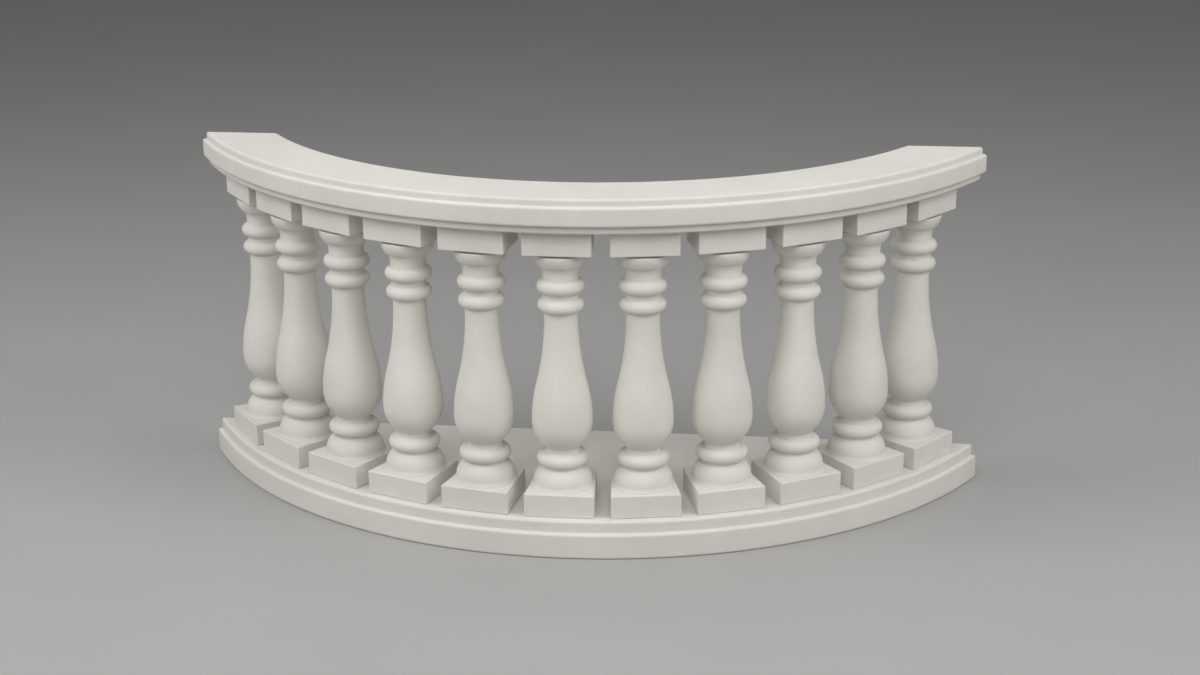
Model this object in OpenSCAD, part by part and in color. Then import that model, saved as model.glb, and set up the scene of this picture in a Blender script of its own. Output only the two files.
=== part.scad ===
// Juliet balcony: a bowed cast-stone balustrade on a stepped slab, fixed to a flat wall.
// Millimetres. The wall is the plane y = 0, the balcony bows out towards -Y, and +Z is up.
// The origin is on the slab's wall face, at the middle of its length and of its thickness.

/* [Plan] */
// Distance from the wall back to the centre of the bow
bow_centre = 588; // [400:1:700]
// Radius of the circle that the balusters stand on
row_r = 1163; // [900:1:1600]
// Least gap between neighbouring pieces of the row, which sets how many fit along the bow
row_gap = 8; // [2:0.5:80]
// Room between the wall and the widest part of the end balusters
wall_gap = 3; // [2:0.5:25]

/* [Slab] */
// Thickness of the lower plate
base_h = 72; // [50:1:120]
// Thickness of the upper plate, which is the floor
floor_h = 34; // [20:1:80]
// How far the lower plate stands out past the floor
base_step = 12; // [4:1:40]
// Strip of floor left in front of the plinth blocks
floor_ledge = 22; // [5:1:80]
// Radius of the sockets for the wall anchors
anchor_r = 11; // [6:1:20]
// Depth of the sockets for the wall anchors
anchor_depth = 160; // [80:5:250]
// Distance between the inner pair of anchors
anchor_inner = 560; // [200:10:700]
// Distance between the outer pair of anchors
anchor_outer = 1680; // [1000:10:1760]

/* [Blocks] */
// Width of a plinth block along the row, and its depth across it
plinth_w = 193; // [175:1:260]
// Height of a plinth block
plinth_h = 66; // [30:1:120]
// Width of a cap block along the row
cap_block_w = 186; // [160:1:240]
// Depth of a cap block across the row
cap_block_d = 150; // [148:1:190]
// Height of a cap block
cap_block_h = 70; // [30:1:120]

/* [Rail] */
// How far the rail's bed mould overhangs the cap blocks in front
bed_overhang = 31; // [0:1:60]
// Height of the bed mould
bed_h = 22; // [8:1:40]
// How far the broad band stands out past the bed mould
bed_step = 14; // [4:1:30]
// Height of the broad band
band_h = 54; // [30:1:100]
// How far the top course is set back from the broad band
top_step = 11; // [4:1:30]
// Height of the top course
top_h = 20; // [8:1:50]
// Radius of the dowel sockets in the rail's ends
dowel_r = 9; // [5:1:14]
// Depth of the dowel sockets in the rail's ends
dowel_depth = 120; // [60:5:140]

/* [Baluster foot] */
// Radius of the sloping skirt where it meets the plinth block
skirt_r = 88.5; // [84:0.5:92]
// Height of the sloping skirt
skirt_h = 11; // [6:0.5:16]
// Radius of the domed foot where it rises from the skirt
foot_r = 82; // [76:0.5:84]
// Radius of the foot's arc
foot_arc = 48; // [42:0.5:54]
// Radius of the neck over the foot
foot_neck_r = 57; // [52:0.5:60]
// Height of the skirt, the foot and its neck
foot_h = 59.5; // [56:0.5:80]
// Radius of the ring under the bowl
low_ring_r = 71.5; // [64:0.5:80]
// Height of the ring under the bowl
low_ring_h = 35; // [24:0.5:40]

/* [Baluster vase] */
// Radius of the neck between the lower ring and the bowl
bowl_neck_r = 48; // [44:0.5:60]
// Height of the neck between the lower ring and the bowl
bowl_neck_h = 17.3; // [4:0.1:30]
// Radius of the bowl where it is widest
bowl_r = 83.5; // [76:0.5:87]
// Radius of the arc that draws the bowl in below its widest part
bowl_arc = 91; // [85:0.5:100]
// Radius of the shoulder arc that rises from the bowl
shoulder_arc = 420; // [250:5:600]
// Radius of the vase at its slim top
vase_top_r = 45.7; // [36:0.1:52]
// Height from the bowl's widest part to the slim top
vase_rise = 298; // [260:1:340]
// Height of the plain collar over the slim top
collar_h = 16; // [6:1:40]

/* [Baluster head] */
// Radius of the lower of the two rings
ring_low_r = 63.2; // [56:0.1:70]
// Radius of the upper of the two rings
ring_high_r = 64.8; // [56:0.1:70]
// Height of each of the two rings
ring_h = 35; // [24:0.5:36]
// Radius of the groove between the two rings
groove_r = 47.7; // [38:0.1:52]
// Height of the groove between the two rings
groove_h = 17.5; // [6:0.5:40]
// Radius of the throat over the rings
throat_r = 49; // [40:0.1:52]
// Height of the plain part of the throat
throat_h = 14; // [4:0.5:40]
// Radius that the throat flares out to under the lip
flare_r = 57; // [54:0.5:58]
// Height over which the throat flares out
flare_rise = 26.5; // [20:0.5:36]
// Radius of the sloping lip at its lower edge
lip_low_r = 61.5; // [59:0.5:64]
// Radius of the sloping lip at its upper edge
lip_r = 74; // [66:0.5:74]
// Height of the sloping lip
lip_rise = 34; // [24:0.5:44]
// Radius of the recessed joint between the lip and the cap block
joint_r = 60; // [50:0.5:64]
// Height of the recessed joint between the lip and the cap block
joint_h = 6; // [2:0.5:8]

/* [Hidden] */
$fn = 144;

// Levels, from the slab's underside up to the top of the rail
base_bottom = -(base_h + floor_h) / 2;
base_top = base_bottom + base_h;
floor_top = base_top + floor_h;
plinth_top = floor_top + plinth_h;

// Levels of the turned baluster, from the plinth block's top
low_ring_z = foot_h + low_ring_h / 2;
bowl_neck_z = foot_h + low_ring_h;
bowl_centre_r = bowl_r - bowl_arc;
bowl_drop = sqrt(bowl_arc * bowl_arc - pow(bowl_neck_r - bowl_centre_r, 2));
bowl_z = bowl_neck_z + bowl_neck_h + bowl_drop;
vase_top_z = bowl_z + vase_rise;
ring_low_z = vase_top_z + collar_h + ring_h / 2;
groove_z = ring_low_z + ring_h / 2;
ring_high_z = groove_z + groove_h + ring_h / 2;
throat_z = ring_high_z + ring_h / 2;
flare_z = throat_z + throat_h;
lip_z = flare_z + flare_rise;
joint_z = lip_z + lip_rise;
shaft_h = joint_z + joint_h;

// A core through the whole baluster, half as thick as its slimmest neck
core_r = min(foot_neck_r, bowl_neck_r, vase_top_r, groove_r, throat_r, joint_r) / 2;

// Levels of the cap blocks and the rail
shaft_top = plinth_top + shaft_h;
rail_bottom = shaft_top + cap_block_h;
bed_top = rail_bottom + bed_h;
band_top = bed_top + band_h;
rail_top = band_top + top_h;

// Radii of the slab and the rail, which follow the row and its blocks
floor_r = row_r + plinth_w / 2 + floor_ledge;
base_r = floor_r + base_step;
bed_in_r = row_r - cap_block_d / 2;
bed_out_r = row_r + cap_block_d / 2 + bed_overhang;
band_in_r = bed_in_r - bed_step;
band_out_r = bed_out_r + bed_step;
top_in_r = band_in_r + top_step;
top_out_r = band_out_r - top_step;

// The end balusters stand just clear of the wall. As many as fit share the bow evenly: two like
// pieces of the row come closest at their inner corners.
function least_pitch(width, depth) = 2 * atan((width + row_gap) / (2 * row_r - depth));
widest_r = max(bowl_r, skirt_r, lip_r);
end_angle = acos((bow_centre + widest_r + wall_gap) / row_r);
tightest_pitch = max(
    least_pitch(plinth_w, plinth_w),
    least_pitch(cap_block_w, cap_block_d),
    least_pitch(2 * widest_r, 0)
);
baluster_count = floor(2 * end_angle / tightest_pitch) + 1;
pitch = 2 * end_angle / (baluster_count - 1);

// Middle of the rail's ends at the wall
rail_mid_r = (band_in_r + band_out_r) / 2;
rail_end_x = sqrt(rail_mid_r * rail_mid_r - bow_centre * bow_centre);
rail_end_z = (bed_top + band_top) / 2;

stone = "#e4e1d9";
overcut = 1;
reach = 2 * max(base_r, band_out_r);

function numbered(name, i) = str(name, "_", i < 10 ? "0" : "", i);
function station_angle(i) = (i - 1) * pitch - end_angle;

stations = [1:baluster_count];

// Keeps the part of its children that lies in front of the wall
module in_front_of_wall() {
    intersection() {
        children();
        translate([-reach, -reach, -reach]) cube([2 * reach, reach, 2 * reach]);
    }
}

// Puts its children at a baluster's place on the bow, facing outwards
module at_station(i) {
    translate([0, bow_centre, 0]) rotate(station_angle(i)) translate([0, -row_r, 0]) children();
}

// A block centred on the row
module row_block(width, depth, height) {
    translate([-width / 2, -depth / 2, 0]) cube([width, depth, height]);
}

// A round socket that opens on the wall face
module wall_socket(x, z, radius, depth) {
    translate([x, overcut, z]) rotate([90, 0, 0]) cylinder(r = radius, h = depth + overcut);
}

module balcony_slab() {
    anchor_z = base_bottom + base_h / 2;
    color(stone) difference() {
        in_front_of_wall() translate([0, bow_centre, 0]) union() {
            translate([0, 0, base_bottom]) cylinder(r = base_r, h = base_h);
            translate([0, 0, base_bottom]) cylinder(r = floor_r, h = base_h + floor_h);
        }
        for (side = [-1, 1], spacing = [anchor_inner, anchor_outer])
            wall_socket(side * spacing / 2, anchor_z, anchor_r, anchor_depth);
    }
}

// Section of the rail: bed mould, broad band and top course, alike inside and out
module rail_section() {
    polygon([
        [bed_in_r, rail_bottom], [bed_out_r, rail_bottom], [bed_out_r, bed_top],
        [band_out_r, bed_top], [band_out_r, band_top], [top_out_r, band_top],
        [top_out_r, rail_top], [top_in_r, rail_top], [top_in_r, band_top],
        [band_in_r, band_top], [band_in_r, bed_top], [bed_in_r, bed_top]
    ]);
}

module top_rail() {
    color(stone) difference() {
        in_front_of_wall() translate([0, bow_centre, 0]) rotate_extrude() rail_section();
        for (side = [-1, 1]) wall_socket(side * rail_end_x, rail_end_z, dowel_r, dowel_depth);
    }
}

module plinth_block(i) {
    color(stone) in_front_of_wall() at_station(i)
        translate([0, 0, floor_top]) row_block(plinth_w, plinth_w, plinth_h);
}

module cap_block(i) {
    color(stone) in_front_of_wall() at_station(i)
        translate([0, 0, shaft_top]) row_block(cap_block_w, cap_block_d, cap_block_h);
}

// A plain stretch of the baluster's half section, from the axis out to a radius
module plain_stretch(radius, z, height) {
    translate([0, z]) square([radius, height]);
}

// A half-round ring of the baluster's half section
module half_round(radius, z, height) {
    plain_stretch(radius - height / 2, z - height / 2, height);
    translate([radius - height / 2, z]) circle(r = height / 2);
}

// An S-shaped flank that draws in from a wide radius to a slim one as it rises. Its round arc and
// its hollow arc touch, so their radii add up to the distance between their centres.
module ogee(wide_r, slim_r, rise, round_arc) {
    draw_in = wide_r - slim_r;
    both_arcs = (rise * rise + draw_in * draw_in) / (2 * draw_in);
    hollow_arc = both_arcs - round_arc;
    turn_z = rise * round_arc / both_arcs;
    turn_r = wide_r - draw_in * round_arc / both_arcs;
    plain_stretch(slim_r, 0, rise);
    intersection() {
        translate([wide_r - round_arc, 0]) circle(r = round_arc);
        plain_stretch(wide_r, 0, turn_z);
    }
    difference() {
        plain_stretch(turn_r, turn_z, rise - turn_z);
        translate([slim_r + hollow_arc, rise]) circle(r = hollow_arc);
    }
}

// Sloping skirt, domed foot, its neck and the ring over it
module foot_section() {
    polygon([[0, 0], [skirt_r, 0], [foot_r, skirt_h], [0, skirt_h]]);
    intersection() {
        translate([foot_r - foot_arc, skirt_h]) circle(r = foot_arc);
        plain_stretch(foot_r, skirt_h, foot_h - skirt_h);
    }
    plain_stretch(foot_neck_r, 0, foot_h);
    half_round(low_ring_r, low_ring_z, low_ring_h);
}

// Vase: a bowl, the shoulder that rises from it and the hollow that draws in to its slim top
module vase_section() {
    plain_stretch(bowl_neck_r, bowl_neck_z, bowl_neck_h);
    intersection() {
        translate([bowl_centre_r, bowl_z]) circle(r = bowl_arc);
        plain_stretch(bowl_r, bowl_z - bowl_drop, bowl_drop);
    }
    translate([0, bowl_z]) ogee(bowl_r, vase_top_r, vase_rise, shoulder_arc);
    plain_stretch(vase_top_r, vase_top_z, collar_h);
}

// A hollow flank that starts upright and widens as it rises
module flare(slim_r, wide_r, z, rise) {
    spread = wide_r - slim_r;
    hollow_arc = (rise * rise + spread * spread) / (2 * spread);
    difference() {
        plain_stretch(wide_r, z, rise);
        translate([slim_r + hollow_arc, z]) circle(r = hollow_arc);
    }
}

// Two rings with a groove between them, a flared throat, the sloping lip and the joint over it
module head_section() {
    half_round(ring_low_r, ring_low_z, ring_h);
    plain_stretch(groove_r, groove_z, groove_h);
    half_round(ring_high_r, ring_high_z, ring_h);
    plain_stretch(throat_r, throat_z, throat_h);
    flare(throat_r, flare_r, flare_z, flare_rise);
    polygon([[0, lip_z], [lip_low_r, lip_z], [lip_r, joint_z], [0, joint_z]]);
    plain_stretch(joint_r, joint_z, joint_h);
}

module baluster(i) {
    color(stone) at_station(i) translate([0, 0, plinth_top]) rotate_extrude() {
        plain_stretch(core_r, 0, shaft_h);
        foot_section();
        vase_section();
        head_section();
    }
}

balcony_slab();
top_rail();
for (i = stations) {
    plinth_block(i);
    baluster(i);
    cap_block(i);
}
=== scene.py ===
# %% [markdown]
# # A bowed juliet balcony in cast stone
# A juliet balcony is a shallow balustrade that is fixed to a wall in front of a tall window. This
# one is cast stone: a stepped half-moon slab, eleven turned balusters between square blocks, and a
# moulded rail that follows the bow. The imported solids are loaded first, because they are the frame
# that every dressed piece has to fit. They stay as they are: a dressed piece hides the solid that
# it stands for.

# %% Load the imported solids
import math

import bmesh
import bpy
from mathutils import Matrix, Vector


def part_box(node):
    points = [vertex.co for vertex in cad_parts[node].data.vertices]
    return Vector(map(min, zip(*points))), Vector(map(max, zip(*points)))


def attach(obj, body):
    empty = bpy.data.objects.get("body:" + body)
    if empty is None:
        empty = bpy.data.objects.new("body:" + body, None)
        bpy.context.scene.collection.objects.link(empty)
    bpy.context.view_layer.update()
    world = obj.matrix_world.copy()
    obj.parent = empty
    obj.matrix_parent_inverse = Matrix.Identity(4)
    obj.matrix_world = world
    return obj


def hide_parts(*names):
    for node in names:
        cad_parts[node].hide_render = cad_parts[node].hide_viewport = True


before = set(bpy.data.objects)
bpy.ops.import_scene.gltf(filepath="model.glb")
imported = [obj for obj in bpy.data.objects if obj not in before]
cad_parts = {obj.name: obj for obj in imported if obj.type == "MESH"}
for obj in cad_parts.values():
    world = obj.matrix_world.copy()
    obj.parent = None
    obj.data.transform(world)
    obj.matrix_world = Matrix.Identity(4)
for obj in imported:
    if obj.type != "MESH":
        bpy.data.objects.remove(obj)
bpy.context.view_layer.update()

# %% [markdown]
# ## The plan of the bow
# The slab, the rail and the row of balusters all follow circles about one centre, which lies inside
# the wall, and the wall is the plane y = 0. So a place on the balcony is best given as a radius and
# a share of the way round. A share of -1 is where a circle meets the wall on the left, and 1 is
# where it meets the wall on the right. A slimmer circle meets the wall sooner, so each radius has
# its own half turn, and every curve then stops exactly at the wall without any trimming. The two end
# balusters stand where the skirts of their feet just clear the wall.

# %% Points on the bow
BOW_CENTRE = 0.588
ROW_RADIUS = 1.163
SKIRT_RADIUS, WALL_GAP = 0.0885, 0.003
END_ANGLE = math.acos((BOW_CENTRE + SKIRT_RADIUS + WALL_GAP) / ROW_RADIUS)
BALUSTERS = sum(name.startswith("baluster_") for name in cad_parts)


def at_angle(radius, z, angle):
    """A point on a circle of the bow, at an angle from the middle."""
    return Vector((radius * math.sin(angle), BOW_CENTRE - radius * math.cos(angle), z))


def on_bow(radius, z, share):
    """A point at a share of the way round a circle of the bow."""
    return at_angle(radius, z, share * math.acos(BOW_CENTRE / radius))


def station(number):
    """The angle of a baluster round the bow, counted from 1 at the left."""
    return END_ANGLE * (2 * (number - 1) / (BALUSTERS - 1) - 1)


print("balusters:", BALUSTERS, "pitch in degrees:", round(math.degrees(station(2) - station(1)), 3))

# %% [markdown]
# ## The levels of the courses
# Each course of stone rests on the one below. The heights don't have to be typed again, because
# each solid's box gives its lowest and highest point.

# %% Heights read from the solids
slab_bottom, floor_top = (corner.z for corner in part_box("balcony_slab"))
plinth_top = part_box("plinth_block_06")[1].z
shaft_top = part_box("baluster_06")[1].z
rail_bottom, rail_top = (corner.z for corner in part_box("top_rail"))
levels = (slab_bottom, floor_top, plinth_top, shaft_top, rail_bottom, rail_top)
print("levels:", [round(z, 4) for z in levels])

# %% [markdown]
# ## Corners that a mould can let go of
# No cast stone has a knife edge. An outer corner, or arris, comes out of the mould a few millimetres
# round, and it catches the light as a bright line. An inner corner keeps a small fillet, and holds a
# soft shadow. A Bevel modifier could round the finished mesh, but it makes uneven strips where a
# turned form has dozens of rings. Here the section is rounded before it is swept, while it is still
# a line in two dimensions. The outline is read with the stone on its left, so a left turn is an
# arris and a right turn is a fillet. A fillet gives way where the next corner is close. The function
# also says which is which, for the finish.

# %% Round the corners of a section
CORNER_STEPS = 4
SHARP_TURN = math.radians(20)
TOUCHING = 1e-6


def walk(points, start, direction, distance):
    """Goes along an outline from one of its corners, and gives the index passed and the place reached."""
    i, here = start, points[start]
    while 0 <= i + direction < len(points):
        there = points[i + direction]
        length = (there - here).length
        if length > distance:
            return i, here + (there - here) * (distance / length)
        distance, here, i = distance - length, there, i + direction
    return i, here


def turn_at(points, i):
    """The angle by which an outline turns left at one of its points."""
    before, after = points[i] - points[i - 1], points[i + 1] - points[i]
    return math.atan2(before.cross(after), before.dot(after))


def soften(points, arris, fillet):
    """Rounds an open outline: gives its new points, and +1 (arris), -1 (fillet) or 0 for each stretch."""
    points = [Vector(p) for p in points]
    turns = {i: turn_at(points, i) for i in range(1, len(points) - 1)}
    corners = [i for i, turn in turns.items() if abs(turn) > SHARP_TURN]
    rounded, kinds, done = [points[0]], [], 0
    for i in turns:
        if i not in corners:
            if i > done:
                rounded.append(points[i])
                kinds.append(0)
            continue
        kind = 1 if turns[i] > 0 else -1
        room = min((points[i] - points[other]).length for other in corners if other != i)
        size = arris if kind > 0 else min(fillet, room - arris)
        _, start = walk(points, i, -1, size)
        last, end = walk(points, i, 1, size)
        while len(rounded) > 1 and (rounded[-1] - points[i]).length < (start - points[i]).length:
            rounded.pop()
            kinds.pop()
        if (start - rounded[-1]).length > TOUCHING:
            rounded.append(start)
            kinds.append(0)
        for step in range(1, CORNER_STEPS + 1):
            t = step / CORNER_STEPS
            rounded.append(start * (1 - t) ** 2 + points[i] * (2 * t * (1 - t)) + end * t ** 2)
            kinds.append(kind)
        done = last
    rounded.append(points[-1])
    kinds.append(0)
    return rounded, kinds


square = soften([(0, 0), (0.1, 0), (0.1, 0.1), (0, 0.1)], 0.01, 0.01)
print("a section with 2 corners has", len(square[0]), "points once it is rounded")

# %% [markdown]
# ## From points to a finished piece
# All pieces are made from plain lists of points and faces, so one helper can do the same last work
# on each. It turns every face outwards, marks the edges that stay sharp, smooths the rest, and adds
# a Weighted Normal modifier, which keeps broad faces flat right up to their rounded corners. It also
# writes two attributes that the finish reads later: the kind of corner on each face, and a tone of
# its own for each casting. Last, the piece rides on the body and takes the place of its solid, which
# is hidden.

# %% Make one piece
KEEP_SHARP = math.radians(40)
GOLDEN_SHARE = 0.618034
castings = []


def casting_tone(number):
    """A steady spread of tones from -1 to 1, so that neighbours differ a little."""
    return 2 * ((number * GOLDEN_SHARE) % 1) - 1


def make_piece(node, points, faces, kinds):
    """Builds the casting that stands for one solid, from points, faces and the faces' corner kinds."""
    mesh = bpy.data.meshes.new(node + "_casting")
    mesh.from_pydata([tuple(p) for p in points], [], faces)
    corner_kind = mesh.attributes.new("corner_kind", "FLOAT", "FACE")
    corner_kind.data.foreach_set("value", [float(kind) for kind in kinds])
    piece = bpy.data.objects.new(node + "_casting", mesh)
    bpy.context.scene.collection.objects.link(piece)
    dress_mesh(piece)
    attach(piece, "root")
    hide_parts(node)
    castings.append(piece)
    return piece


def dress_mesh(piece):
    """Turns the faces outwards, smooths what is round, and gives the casting its own tone."""
    mesh = piece.data
    bm = bmesh.new()
    bm.from_mesh(mesh)
    bmesh.ops.recalc_face_normals(bm, faces=bm.faces)
    bm.to_mesh(mesh)
    bm.free()
    mesh.shade_smooth()
    mesh.set_sharp_from_angle(angle=KEEP_SHARP)
    tone = mesh.attributes.new("casting_tone", "FLOAT", "POINT")
    tone.data.foreach_set("value", [casting_tone(len(castings))] * len(mesh.vertices))
    piece.modifiers.new("flat_faces", "WEIGHTED_NORMAL").keep_sharp = True


# %% [markdown]
# ## Sockets at the wall
# The slab and the rail are pinned to the wall by bars that are grouted into round sockets. A socket
# could be modelled by hand into the back face, but a Boolean modifier cuts it in one step. The
# cutter is a cylinder along y. Once the cut is done the modifier is applied by taking the evaluated
# mesh, and the cutter is removed, so nothing is left that could move out of place.

# %% Cut wall sockets
SOCKET_SIDES = 48
DRILL_PAST = 0.01


def cut_wall_sockets(piece, places, radius, depth):
    """Drills round sockets into the wall face of a piece."""
    bm = bmesh.new()
    for x, z in places:
        place = Matrix.Translation((x, (DRILL_PAST - depth) / 2, z)) @ Matrix.Rotation(math.pi / 2, 4, "X")
        bmesh.ops.create_cone(bm, cap_ends=True, segments=SOCKET_SIDES, radius1=radius, radius2=radius,
                              depth=depth + DRILL_PAST, matrix=place)
    mesh = bpy.data.meshes.new("drill")
    bm.to_mesh(mesh)
    bm.free()
    drill = bpy.data.objects.new("drill", mesh)
    bpy.context.scene.collection.objects.link(drill)
    cut = piece.modifiers.new("sockets", "BOOLEAN")
    cut.object, cut.operation, cut.solver = drill, "DIFFERENCE", "EXACT"
    piece.modifiers.move(len(piece.modifiers) - 1, 0)
    smoothing = piece.modifiers["flat_faces"]
    smoothing.show_viewport = False
    bpy.context.view_layer.update()
    evaluated = piece.evaluated_get(bpy.context.evaluated_depsgraph_get())
    drilled = bpy.data.meshes.new_from_object(evaluated)
    piece.modifiers.remove(cut)
    smoothing.show_viewport = True
    piece.data = drilled
    drilled.set_sharp_from_angle(angle=KEEP_SHARP)
    bpy.data.objects.remove(drill)
    print(piece.name, "has", len(places), "sockets and", len(drilled.polygons), "faces")


# %% [markdown]
# ## Sweeping a section round the bow
# A Curve object with a bevel profile would sweep a section too, but it ends at right angles to the
# curve, and these ends have to lie flat on the wall. So the sweep is written out: each point of the
# section is carried round its own circle from wall to wall, in equal steps, and each pair of
# neighbouring lines is joined by quads.

# %% Sweep helper
BOW_STEPS = 168


def sweep(section, kinds, closed):
    """Points, faces and corner kinds of a section that runs round the bow from wall to wall."""
    count = len(section)
    points = [on_bow(r, z, 2 * step / BOW_STEPS - 1)
              for step in range(BOW_STEPS + 1) for r, z in section]
    faces, face_kinds = [], []
    for step in range(BOW_STEPS):
        for k in range(count if closed else count - 1):
            a, b = step * count + k, step * count + (k + 1) % count
            faces.append((a, b, b + count, a + count))
            face_kinds.append(kinds[k])
    return points, faces, face_kinds


# %% [markdown]
# ## The rail
# The rail is three courses in one casting: a narrow bed mould over the blocks, a broad band that
# stands out past it, and a top course that is set back again. The steps throw the thin shadow lines
# that make the rail look moulded. Its outline is read once round with the stone on the left. It
# starts in the middle of its underside, so that every corner is rounded in the same way.

# %% Rail section
BED_INNER, BED_OUTER = 1.088, 1.269
BAND_STEP, TOP_STEP = 0.014, 0.011
BED_HEIGHT, BAND_HEIGHT = 0.022, 0.054
RAIL_ARRIS, RAIL_FILLET = 0.008, 0.003

bed_top = rail_bottom + BED_HEIGHT
band_top = bed_top + BAND_HEIGHT
band_inner, band_outer = BED_INNER - BAND_STEP, BED_OUTER + BAND_STEP
top_inner, top_outer = band_inner + TOP_STEP, band_outer - TOP_STEP
rail_middle = (BED_INNER + BED_OUTER) / 2
rail_outline = [
    (rail_middle, rail_bottom), (BED_OUTER, rail_bottom), (BED_OUTER, bed_top),
    (band_outer, bed_top), (band_outer, band_top), (top_outer, band_top),
    (top_outer, rail_top), (top_inner, rail_top), (top_inner, band_top),
    (band_inner, band_top), (band_inner, bed_top), (BED_INNER, bed_top),
    (BED_INNER, rail_bottom), (rail_middle, rail_bottom),
]
rail_section, rail_kinds = soften(rail_outline, RAIL_ARRIS, RAIL_FILLET)
rail_section.pop()
print("rail section:", len(rail_section), "points")

# %% Rail casting
DOWEL_RADIUS, DOWEL_DEPTH = 0.009, 0.120

points, faces, kinds = sweep(rail_section, rail_kinds, closed=True)
around = len(rail_section)
faces += [list(range(around)), list(range(BOW_STEPS * around, (BOW_STEPS + 1) * around))]
kinds += [0, 0]
rail = make_piece("top_rail", points, faces, kinds)
rail_end = math.sqrt(rail_middle ** 2 - BOW_CENTRE ** 2)
dowel_places = [(side * rail_end, (bed_top + band_top) / 2) for side in (-1, 1)]
cut_wall_sockets(rail, dowel_places, DOWEL_RADIUS, DOWEL_DEPTH)

# %% [markdown]
# ## The slab
# The slab is two half-moon plates: a thick lower one, and a thinner floor that is set back by a
# small step. Only its edge is moulded, so only the edge is swept. The floor, the underside and the
# wall face are each one flat face, whose border is a row of points that the sweep already made.

# %% Slab casting
FLOOR_RADIUS, BASE_RADIUS = 1.2815, 1.2935
BASE_HEIGHT = 0.072
EDGE_STRIP = 0.05
SLAB_ARRIS, SLAB_FILLET = 0.008, 0.003
ANCHOR_RADIUS, ANCHOR_DEPTH = 0.011, 0.160
ANCHOR_ALONG = (-0.84, -0.28, 0.28, 0.84)

base_top = slab_bottom + BASE_HEIGHT
edge_outline = [
    (BASE_RADIUS - EDGE_STRIP, slab_bottom), (BASE_RADIUS, slab_bottom), (BASE_RADIUS, base_top),
    (FLOOR_RADIUS, base_top), (FLOOR_RADIUS, floor_top), (FLOOR_RADIUS - EDGE_STRIP, floor_top),
]
edge_section, edge_kinds = soften(edge_outline, SLAB_ARRIS, SLAB_FILLET)
points, faces, kinds = sweep(edge_section, edge_kinds, closed=False)
around = len(edge_section)
left_end = list(range(around))
right_end = list(range(BOW_STEPS * around, (BOW_STEPS + 1) * around))
faces += [
    list(range(0, len(points), around)),
    list(range(around - 1, len(points), around)),
    left_end + right_end[::-1],
]
kinds += [0, 0, 0]
slab = make_piece("balcony_slab", points, faces, kinds)
anchor_places = [(x, slab_bottom + BASE_HEIGHT / 2) for x in ANCHOR_ALONG]
cut_wall_sockets(slab, anchor_places, ANCHOR_RADIUS, ANCHOR_DEPTH)

# %% [markdown]
# ## The square blocks
# Each baluster stands on a plinth block and carries a cap block. The solids are plain boxes, except
# that the two at each end are trimmed where they would run into the wall. So a new block isn't
# measured at all: the convex hull of the solid's own corners gives the right box, trim included. Its
# flat faces are merged. The cast blocks narrow a little towards the back, because their sides follow
# the radius of the bow and leave even gaps, so two planes through the bow's centre cut the sides.
# Then every edge is bevelled by a few millimetres.

# %% Blocks from the solids
BLOCK_ARRIS = 0.0035
BLOCK_STEPS = 3
WELD = 1e-5
FLAT_TURN = math.radians(1)


def front_half_angle(course):
    """The angle that half of a block's front takes up, seen from the bow's centre."""
    low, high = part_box(f"{course}_{(BALUSTERS + 1) // 2:02d}")
    return math.atan2(high.x, BOW_CENTRE - low.y)


def cut_along_radius(bm, angle, half_angle):
    """Cuts both sides of a block along the radius through its front corners."""
    for side in (-1, 1):
        corner_angle = angle + side * half_angle
        outwards = Vector((math.cos(corner_angle), math.sin(corner_angle), 0)) * side
        bmesh.ops.bisect_plane(bm, geom=bm.verts[:] + bm.edges[:] + bm.faces[:], dist=WELD,
                               plane_co=(0, BOW_CENTRE, 0), plane_no=outwards, clear_outer=True)
        bmesh.ops.holes_fill(bm, edges=[edge for edge in bm.edges if edge.is_boundary])


def make_block(course, number):
    """A block with rounded arrises, made from the corners of its solid."""
    node = f"{course}_{number:02d}"
    bm = bmesh.new()
    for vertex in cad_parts[node].data.vertices:
        bm.verts.new(vertex.co)
    bmesh.ops.remove_doubles(bm, verts=bm.verts, dist=WELD)
    hull = bmesh.ops.convex_hull(bm, input=bm.verts)
    inside = [v for v in hull["geom_interior"] if isinstance(v, bmesh.types.BMVert)]
    bmesh.ops.delete(bm, geom=inside, context="VERTS")
    bmesh.ops.dissolve_limit(bm, angle_limit=FLAT_TURN, verts=bm.verts, edges=bm.edges)
    cut_along_radius(bm, station(number), front_half_angle(course))
    bmesh.ops.dissolve_limit(bm, angle_limit=FLAT_TURN, verts=bm.verts, edges=bm.edges)
    rounding = bmesh.ops.bevel(bm, geom=list(bm.edges), offset=BLOCK_ARRIS, segments=BLOCK_STEPS,
                               profile=0.5, affect="EDGES")
    arrises = set(rounding["faces"])
    bm.verts.index_update()
    points = [v.co.copy() for v in bm.verts]
    faces = [[v.index for v in face.verts] for face in bm.faces]
    kinds = [1 if face in arrises else 0 for face in bm.faces]
    bm.free()
    return make_piece(node, points, faces, kinds)


for number in range(1, BALUSTERS + 1):
    for course in ("plinth_block", "cap_block"):
        block = make_block(course, number)
print("a block has", len(block.data.polygons), "faces, and there are", 2 * BALUSTERS)

# %% [markdown]
# ## The section of a baluster
# A turned baluster is drawn as a half section, from its axis outwards. This one is made only of
# straight stretches and arcs, as a mould maker would strike it with a compass: a domed foot on a
# sloping skirt, a half-round ring, a bowl that swells out and draws in again to a slim neck, two
# rings with a groove between them, and a throat that flares to a sloping, slightly rounded lip. A
# recessed mortar joint parts the lip from the cap block, and shows as a dark line. Points could be
# placed by eye along a smooth curve, but arcs that touch keep the light flowing evenly over the stone.

# %% Arcs of the section
ARC_TURN = math.radians(7.5)
ARC_LENGTH = 0.012


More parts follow.
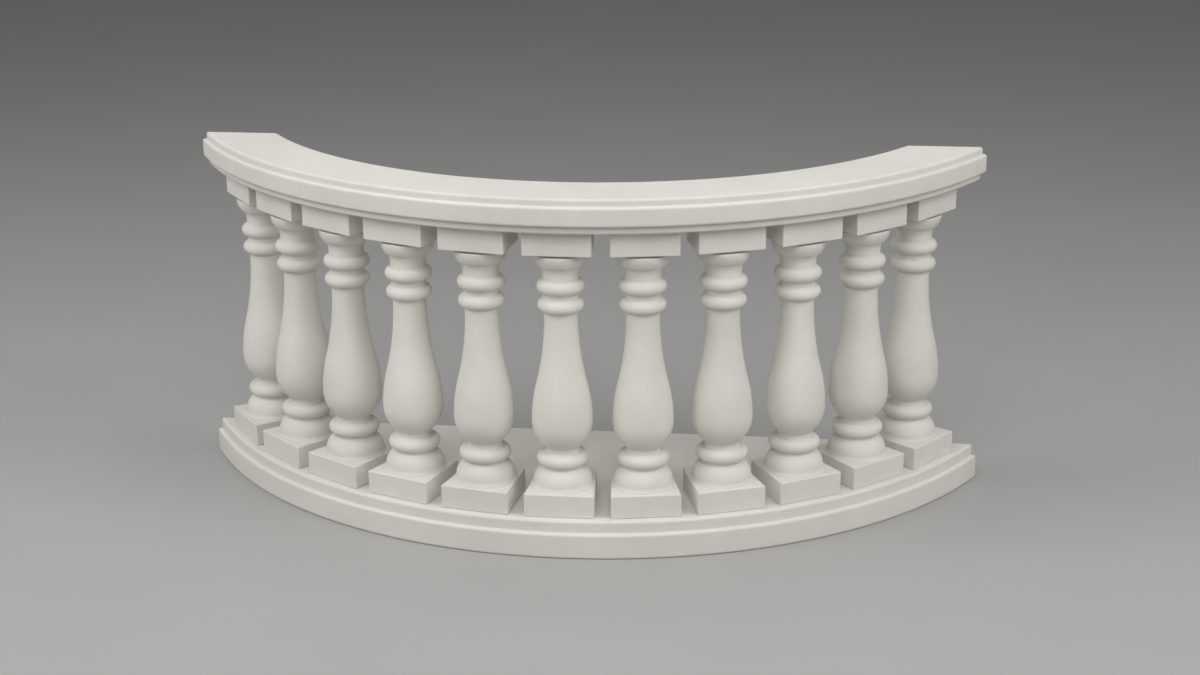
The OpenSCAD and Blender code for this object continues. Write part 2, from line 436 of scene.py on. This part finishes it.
def arc(centre_r, centre_z, radius, low_z, high_z, hollow=False):
    """Points of an arc, read upwards; a hollow arc bulges towards the axis."""
    low = math.asin(max(-1, min(1, (low_z - centre_z) / radius)))
    high = math.asin(max(-1, min(1, (high_z - centre_z) / radius)))
    steps = math.ceil(max((high - low) / ARC_TURN, (high - low) * radius / ARC_LENGTH, 1))
    side = -1 if hollow else 1
    angles = [low + (high - low) * i / steps for i in range(steps + 1)]
    return [(centre_r + side * radius * math.cos(a), centre_z + radius * math.sin(a)) for a in angles]


def ring(radius, middle_z, height, low_neck, high_neck):
    """A half-round ring, from where it leaves the neck below to where it meets the neck above."""
    bend = height / 2
    centre = radius - bend
    low = middle_z - math.sqrt(bend ** 2 - max(low_neck - centre, 0) ** 2)
    high = middle_z + math.sqrt(bend ** 2 - max(high_neck - centre, 0) ** 2)
    shoulder = [(high_neck, high)] if high_neck < centre else []
    return arc(centre, middle_z, bend, low, high) + shoulder


def ogee(wide, slim, rise, round_arc):
    """An S-shaped flank that draws in as it rises from z = 0: a round arc, then a hollow one."""
    draw_in = wide - slim
    both = (rise ** 2 + draw_in ** 2) / (2 * draw_in)
    turn = rise * round_arc / both
    hollow_arc = both - round_arc
    round_part = arc(wide - round_arc, 0, round_arc, 0, turn)
    hollow_part = arc(slim + hollow_arc, rise, hollow_arc, turn, rise, True)
    return round_part[:-1] + hollow_part


# %% Foot, vase and head
SKIRT_HEIGHT = 0.011
FOOT_RADIUS, FOOT_ARC, FOOT_NECK, FOOT_HEIGHT = 0.082, 0.048, 0.057, 0.0595
LOW_RING, LOW_RING_HEIGHT = 0.0715, 0.035
BOWL_NECK, BOWL_NECK_HEIGHT, BOWL_RADIUS, BOWL_ARC = 0.048, 0.0173, 0.0835, 0.091
SHOULDER_ARC, VASE_TOP, VASE_RISE, COLLAR_HEIGHT = 0.420, 0.0457, 0.298, 0.016
RING_LOW, RING_HIGH, RING_HEIGHT = 0.0632, 0.0648, 0.035
GROOVE, GROOVE_HEIGHT, THROAT, THROAT_HEIGHT = 0.0477, 0.0175, 0.049, 0.014
FLARE_RADIUS, FLARE_RISE = 0.057, 0.0265
LIP_LOW, LIP_RADIUS, LIP_RISE, LIP_BULGE, LIP_STEPS = 0.0615, 0.074, 0.034, 0.0035, 8
JOINT_RADIUS = 0.060
SHAFT_ARRIS, SHAFT_FILLET = 0.002, 0.006

shaft_height = shaft_top - plinth_top
foot_centre = FOOT_RADIUS - FOOT_ARC
dome_top = SKIRT_HEIGHT + math.sqrt(FOOT_ARC ** 2 - (FOOT_NECK - foot_centre) ** 2)
foot = [(0, 0), (SKIRT_RADIUS, 0)] + arc(foot_centre, SKIRT_HEIGHT, FOOT_ARC, SKIRT_HEIGHT, dome_top)
foot += ring(LOW_RING, FOOT_HEIGHT + LOW_RING_HEIGHT / 2, LOW_RING_HEIGHT, FOOT_NECK, BOWL_NECK)

bowl_low = FOOT_HEIGHT + LOW_RING_HEIGHT + BOWL_NECK_HEIGHT
bowl_centre = BOWL_RADIUS - BOWL_ARC
bowl_z = bowl_low + math.sqrt(BOWL_ARC ** 2 - (BOWL_NECK - bowl_centre) ** 2)
vase = arc(bowl_centre, bowl_z, BOWL_ARC, bowl_low, bowl_z)[:-1]
vase += [(r, z + bowl_z) for r, z in ogee(BOWL_RADIUS, VASE_TOP, VASE_RISE, SHOULDER_ARC)]

ring_low_z = bowl_z + VASE_RISE + COLLAR_HEIGHT + RING_HEIGHT / 2
ring_high_z = ring_low_z + RING_HEIGHT + GROOVE_HEIGHT
throat_top = ring_high_z + RING_HEIGHT / 2 + THROAT_HEIGHT
lip_z = throat_top + FLARE_RISE
joint_z = lip_z + LIP_RISE
flare_bend = (FLARE_RISE ** 2 + (FLARE_RADIUS - THROAT) ** 2) / (2 * (FLARE_RADIUS - THROAT))
head = ring(RING_LOW, ring_low_z, RING_HEIGHT, VASE_TOP, GROOVE)
head += ring(RING_HIGH, ring_high_z, RING_HEIGHT, GROOVE, THROAT)
head += arc(THROAT + flare_bend, throat_top, flare_bend, throat_top, lip_z, True)
for step in range(LIP_STEPS + 1):
    t = step / LIP_STEPS
    belly = 4 * LIP_BULGE * t * (1 - t)
    head.append((LIP_LOW + (LIP_RADIUS - LIP_LOW) * t + belly, lip_z + LIP_RISE * t))
head += [(JOINT_RADIUS, joint_z), (JOINT_RADIUS, shaft_height), (0, shaft_height)]

shaft_section, shaft_kinds = soften(foot + vase + head, SHAFT_ARRIS, SHAFT_FILLET)
print("baluster section:", len(shaft_section), "points, height", round(shaft_section[-1].y, 4))

# %% [markdown]
# ## Turning the balusters
# The Screw modifier turns a section round an axis, and so does the Spin operator. Writing the rings
# out costs no more, and it puts every baluster straight into its place in the frame, with the
# corner kind of each face beside it. The two points on the axis become the middles of two fans that
# close the ends, which the blocks hide.

# %% Turn and place
TURN_STEPS = 96


def make_baluster(number):
    """One baluster, turned about its own axis on the bow."""
    angle = station(number)
    foot_place = at_angle(ROW_RADIUS, plinth_top, angle)
    turns = [angle + 2 * math.pi * step / TURN_STEPS for step in range(TURN_STEPS)]
    points = [foot_place + Vector((r * math.sin(a), -r * math.cos(a), z))
              for r, z in shaft_section[1:-1] for a in turns]
    rows = len(shaft_section) - 2
    faces, kinds = [], []
    for row in range(rows - 1):
        for step in range(TURN_STEPS):
            beside = (step + 1) % TURN_STEPS
            low, high = row * TURN_STEPS, (row + 1) * TURN_STEPS
            faces.append((low + step, low + beside, high + beside, high + step))
            kinds.append(shaft_kinds[row + 1])
    bottom, top = len(points), len(points) + 1
    points += [foot_place, foot_place + Vector((0, 0, shaft_height))]
    for step in range(TURN_STEPS):
        beside = (step + 1) % TURN_STEPS
        last = (rows - 1) * TURN_STEPS
        faces += [(bottom, beside, step), (top, last + step, last + beside)]
        kinds += [0, 0]
    return make_piece(f"baluster_{number:02d}", points, faces, kinds)


for number in range(1, BALUSTERS + 1):
    baluster = make_baluster(number)
print("a baluster has", len(baluster.data.polygons), "faces")

# %% [markdown]
# ## The cast stone
# Cast stone is crushed limestone and white cement, packed damp into a mould. From a few steps away
# it is one calm off-white. Close up it is a fine sandy skin, with faint clouds where the mix was
# wetter, a few pinholes where air was caught, and slightly paler arrises. Shade is also painted into
# the colour: a little grey in the inner corners, and a dark tone in the pinholes. A picture could
# give all that, but nodes have no seams and no set size. The pieces sit at the frame's origin, so
# Object coordinates are metres on the whole balcony, and no two castings have the same clouds.

# %% A material and short ways to add nodes
CLOUD_DETAIL, CLOUD_ROUGHNESS = 3.0, 0.55

stone = bpy.data.materials.new("cast_stone_finish")
stone.use_nodes = True
stone_tree = stone.node_tree
stone_shader = stone_tree.nodes["Principled BSDF"]


def add_node(kind, tree=stone_tree, **sockets):
    """Adds a node and fills its sockets: a socket in the value is linked, anything else is set."""
    made = tree.nodes.new("ShaderNode" + kind)
    for name, value in sockets.items():
        socket = made.inputs[name.replace("_", " ")]
        if isinstance(value, bpy.types.NodeSocket):
            tree.links.new(value, socket)
        else:
            socket.default_value = value
    return made


def spread(value, low, high, new_low, new_high):
    """Maps a range of a value to another range."""
    mapped = add_node("MapRange", Value=value, From_Min=low, From_Max=high,
                      To_Min=new_low, To_Max=new_high)
    return mapped.outputs["Result"]


def maths(operation, first, second):
    """Joins two values with a sum, a product or the like."""
    made = stone_tree.nodes.new("ShaderNodeMath")
    made.operation = operation
    for socket, value in zip(made.inputs, (first, second)):
        if isinstance(value, bpy.types.NodeSocket):
            stone_tree.links.new(value, socket)
        else:
            socket.default_value = value
    return made.outputs["Value"]


place_on_stone = add_node("TexCoord").outputs["Object"]


def clouds(size, detail=CLOUD_DETAIL):
    """Soft noise whose patches are about this many metres across."""
    noise = add_node("TexNoise", Vector=place_on_stone, Scale=1 / size, Detail=detail,
                     Roughness=CLOUD_ROUGHNESS)
    return noise.outputs["Fac"]


# %% [markdown]
# ### Clouds, pinholes and corners
# Each effect is first a value between 0 and 1. Broad and middling clouds and the fine grain change
# the tone by a few hundredths. Pinholes are the middles of a few Voronoi cells, chosen by the cells'
# own random colour. The corner kind that the mesh carries is broken up by noise, so that the paler
# arris and the painted shade in the fillets are never an even line.

# %% Effects of the stone
BROAD_SIZE, MIDDLING_SIZE, GRAIN_SIZE, GRAIN_DETAIL = 0.35, 0.06, 0.0016, 2.0
PIN_CELLS = 85.0
PIN_CHOICE, PIN_RIM = (0.72, 0.74), (0.06, 0.11)
PATCH_RANGE, PATCH_LEAST = (0.38, 0.62), 0.25

broad_clouds = clouds(BROAD_SIZE)
middling_clouds = clouds(MIDDLING_SIZE)
fine_grain = clouds(GRAIN_SIZE, GRAIN_DETAIL)

pin_cells = add_node("TexVoronoi", Vector=place_on_stone, Scale=PIN_CELLS)
cell_colour = add_node("SeparateColor", Color=pin_cells.outputs["Color"])
cell_choice = spread(cell_colour.outputs["Red"], *PIN_CHOICE, 0.0, 1.0)
# pinholes: dents in the relief, and also a painted shade in the colour
pinholes = maths("MULTIPLY", spread(pin_cells.outputs["Distance"], *PIN_RIM, 1.0, 0.0), cell_choice)

corner_kind = stone_tree.nodes.new("ShaderNodeAttribute")
corner_kind.attribute_name = "corner_kind"
own_tone = stone_tree.nodes.new("ShaderNodeAttribute")
own_tone.attribute_name = "casting_tone"
patchy = spread(middling_clouds, *PATCH_RANGE, PATCH_LEAST, 1.0)
arris_wear = maths("MULTIPLY", spread(corner_kind.outputs["Fac"], 0.0, 1.0, 0.0, 1.0), patchy)
# painted shade: a mask of the inner corners (fillets), where shade falls
painted_fillet_shade = maths("MULTIPLY", spread(corner_kind.outputs["Fac"], -1.0, 0.0, 1.0, 0.0), patchy)
print("nodes so far:", len(stone_tree.nodes))

# %% [markdown]
# ### Colour
# The colour starts as a ramp between two off-whites along the broad clouds. One Hue Saturation Value
# node then carries the sum of the finer tones, and three Mix nodes lay on the paler arris, a painted
# shade in the fillets and a painted shade in the pinholes, each with a colour of its own. A Mix node
# has sockets of the same name for numbers, vectors and colours, so its colour sockets are found by
# their places in the list.

# %% Colour of the stone
PALE_STONE = (0.775, 0.752, 0.700, 1)
DULL_STONE = (0.735, 0.712, 0.660, 1)
WORN_ARRIS = (0.800, 0.780, 0.735, 1)
# painted shade: a darker grey for the inner corners
FILLET_SHADE = (0.560, 0.535, 0.480, 1)
# painted shade: a dark tone for the inside of the pinholes
PINHOLE_SHADE = (0.420, 0.400, 0.350, 1)
STONE_STOPS = ((0.35, DULL_STONE), (0.65, PALE_STONE))
# shares of the paler arris, the painted shade in the fillets and the painted shade in the pinholes
ARRIS_SHARE, FILLET_SHADE_SHARE, PINHOLE_SHADE_SHARE = 0.20, 0.30, 0.55
NOISE_RANGE = (0.3, 0.7)
CLOUD_TONES, GRAIN_TONES, CASTING_TONES = (0.975, 1.015), (-0.025, 0.025), (-0.012, 0.012)
MIX_BASE, MIX_COLOUR, MIX_RESULT = 6, 7, 2

stone_ramp = add_node("ValToRGB", Fac=broad_clouds)
for stop, (position, colour) in zip(stone_ramp.color_ramp.elements, STONE_STOPS):
    stop.position, stop.color = position, colour
cloud_tone = spread(middling_clouds, *NOISE_RANGE, *CLOUD_TONES)
tone = maths("ADD", cloud_tone, spread(fine_grain, *NOISE_RANGE, *GRAIN_TONES))
tone = maths("ADD", tone, spread(own_tone.outputs["Fac"], -1.0, 1.0, *CASTING_TONES))
stone_colour = add_node("HueSaturation", Color=stone_ramp.outputs["Color"], Value=tone).outputs["Color"]


def lay_on(base, colour, amount):
    """Lays a colour over the base by an amount that changes over the surface."""
    mix = stone_tree.nodes.new("ShaderNodeMix")
    mix.data_type = "RGBA"
    stone_tree.links.new(amount, mix.inputs["Factor"])
    stone_tree.links.new(base, mix.inputs[MIX_BASE])
    mix.inputs[MIX_COLOUR].default_value = colour
    return mix.outputs[MIX_RESULT]


stone_colour = lay_on(stone_colour, WORN_ARRIS, maths("MULTIPLY", arris_wear, ARRIS_SHARE))
# painted shade laid into the inner corners
stone_colour = lay_on(stone_colour, FILLET_SHADE, maths("MULTIPLY", painted_fillet_shade, FILLET_SHADE_SHARE))
# painted shade laid into the pinholes
stone_colour = lay_on(stone_colour, PINHOLE_SHADE, maths("MULTIPLY", pinholes, PINHOLE_SHADE_SHARE))
stone_tree.links.new(stone_colour, stone_shader.inputs["Base Color"])

# %% [markdown]
# ### Skin
# The skin is matt, with a roughness that drifts a little with the clouds. A Bump node turns height
# into small tilts of the surface: the grain stands up a little, and the pinholes go in. The distance
# is in metres, so it stays true to the size of real sand. What is the same all over, such as the
# specular level, is set straight on the shader.

# %% Roughness and relief
GRAIN_HEIGHT, CLOUD_HEIGHT = 0.35, 0.8
RELIEF_STRENGTH, RELIEF_DISTANCE = 0.35, 0.0009
SKIN_ROUGHNESS, SKIN_SPECULAR = (0.72, 0.88), 0.32

height = maths("SUBTRACT", maths("MULTIPLY", fine_grain, GRAIN_HEIGHT), pinholes)
height = maths("ADD", height, maths("MULTIPLY", middling_clouds, CLOUD_HEIGHT))
relief = add_node("Bump", Strength=RELIEF_STRENGTH, Distance=RELIEF_DISTANCE, Height=height)
stone_tree.links.new(relief.outputs["Normal"], stone_shader.inputs["Normal"])
roughness = spread(middling_clouds, *NOISE_RANGE, *SKIN_ROUGHNESS)
stone_tree.links.new(roughness, stone_shader.inputs["Roughness"])
stone_shader.inputs["Specular IOR Level"].default_value = SKIN_SPECULAR
for piece in castings:
    piece.data.materials.clear()
    piece.data.materials.append(stone)
print("castings with the finish:", len(castings), "nodes:", len(stone_tree.nodes))

# %% [markdown]
# ## The studio floor
# The balcony stands on a plain pale floor for its portrait. The floor is a little darker than the
# stone, so that the off-white edges still read, and it runs far back, so the camera sees no end of
# it. It is no part of the balcony.

# %% Floor
FLOOR_REACH = 40.0
FLOOR_DULL, FLOOR_PALE = (0.400, 0.395, 0.385, 1), (0.430, 0.425, 0.415, 1)
FLOOR_SCALE, FLOOR_DETAIL, FLOOR_ROUGHNESS = 1.5, 4.0, 0.9

floor_mesh = bpy.data.meshes.new("studio_floor")
floor_corners = [(x * FLOOR_REACH, y * FLOOR_REACH, slab_bottom)
                 for x, y in ((-1, -1), (1, -1), (1, 1), (-1, 1))]
floor_mesh.from_pydata(floor_corners, [], [(0, 1, 2, 3)])
floor = bpy.data.objects.new("studio_floor", floor_mesh)
bpy.context.scene.collection.objects.link(floor)
floor_finish = bpy.data.materials.new("studio_floor_finish")
floor_finish.use_nodes = True
floor_tree = floor_finish.node_tree
floor_shader = floor_tree.nodes["Principled BSDF"]
floor_place = add_node("TexCoord", floor_tree).outputs["Object"]
floor_clouds = add_node("TexNoise", floor_tree, Vector=floor_place, Scale=FLOOR_SCALE, Detail=FLOOR_DETAIL)
floor_ramp = add_node("ValToRGB", floor_tree, Fac=floor_clouds.outputs["Fac"])
for stop, colour in zip(floor_ramp.color_ramp.elements, (FLOOR_DULL, FLOOR_PALE)):
    stop.color = colour
floor_tree.links.new(floor_ramp.outputs["Color"], floor_shader.inputs["Base Color"])
floor_shader.inputs["Roughness"].default_value = FLOOR_ROUGHNESS
floor_mesh.materials.append(floor_finish)

# %% [markdown]
# ## Soft light
# The light is soft and comes from all over the front, as in a studio with white screens: one large
# panel in front and above, one on each side, and a smaller one overhead that lights the tops and the
# floor behind the balusters. A dim grey world fills the shadows only a little, so the thin lines under
# the mouldings stay dark. The levels are plain, so that a colour comes out about as it was mixed.

# %% Light panels and world
PANEL_AIM = Vector((0.0, -0.3, 0.4))
PANELS = {
    "front_panel": ((0.0, -4.8, 5.0), 4.0, 122.0),
    "left_panel": ((-4.4, -2.6, 4.0), 3.6, 144.0),
    "right_panel": ((4.4, -2.6, 4.0), 3.6, 144.0),
    "top_panel": ((0.0, 0.2, 5.6), 3.0, 45.0),
}
WORLD_GREY, WORLD_STRENGTH = (0.80, 0.80, 0.80, 1), 0.23

for name, (stand, size, watts) in PANELS.items():
    panel = bpy.data.lights.new(name, "AREA")
    panel.shape, panel.size, panel.energy = "SQUARE", size, watts
    lamp = bpy.data.objects.new(name, panel)
    lamp.location = stand
    lamp.rotation_euler = (PANEL_AIM - Vector(stand)).to_track_quat("-Z", "Y").to_euler()
    bpy.context.scene.collection.objects.link(lamp)

world = bpy.data.worlds.new("overcast")
bpy.context.scene.world = world
world.use_nodes = True
backdrop = world.node_tree.nodes["Background"]
backdrop.inputs["Color"].default_value = WORLD_GREY
backdrop.inputs["Strength"].default_value = WORLD_STRENGTH
bpy.context.scene.view_settings.view_transform = "Standard"
print("panels:", len(PANELS))

# %% [markdown]
# ## The camera
# The camera's place and lens were worked out from the known shape: the ends of the rail, the edge of
# the slab and the corners of the blocks all have to fall where they are seen. It stands to the right
# of the middle, looks down by about eighteen degrees, and leans by less than half a degree. Its axes
# are built from those three angles and set as one matrix, which avoids any doubt about their order.

# %% Camera
IMAGE_WIDTH = 1200
FOCAL_PIXELS = 2128.53
SENSOR_WIDTH = 36.0
CAMERA_PLACE = (0.76167, -5.95912, 2.34224)
YAW, PITCH, ROLL = 0.12136, 0.32048, -0.00792

level_ahead = Vector((-math.sin(YAW), math.cos(YAW), 0))
level_right = Vector((math.cos(YAW), math.sin(YAW), 0))
straight_up = Vector((0, 0, 1))
ahead = level_ahead * math.cos(PITCH) - straight_up * math.sin(PITCH)
tilted_up = straight_up * math.cos(PITCH) + level_ahead * math.sin(PITCH)
camera_right = level_right * math.cos(ROLL) + tilted_up * math.sin(ROLL)
camera_up = tilted_up * math.cos(ROLL) - level_right * math.sin(ROLL)

lens = bpy.data.cameras.new("portrait_lens")
lens.sensor_fit, lens.sensor_width = "HORIZONTAL", SENSOR_WIDTH
lens.lens = FOCAL_PIXELS / IMAGE_WIDTH * SENSOR_WIDTH
camera = bpy.data.objects.new("portrait_camera", lens)
bpy.context.scene.collection.objects.link(camera)
axes = Matrix((camera_right, camera_up, -ahead)).transposed().to_4x4()
camera.matrix_world = Matrix.Translation(CAMERA_PLACE) @ axes
bpy.context.scene.camera = camera
print("lens in millimetres:", round(lens.lens, 2))
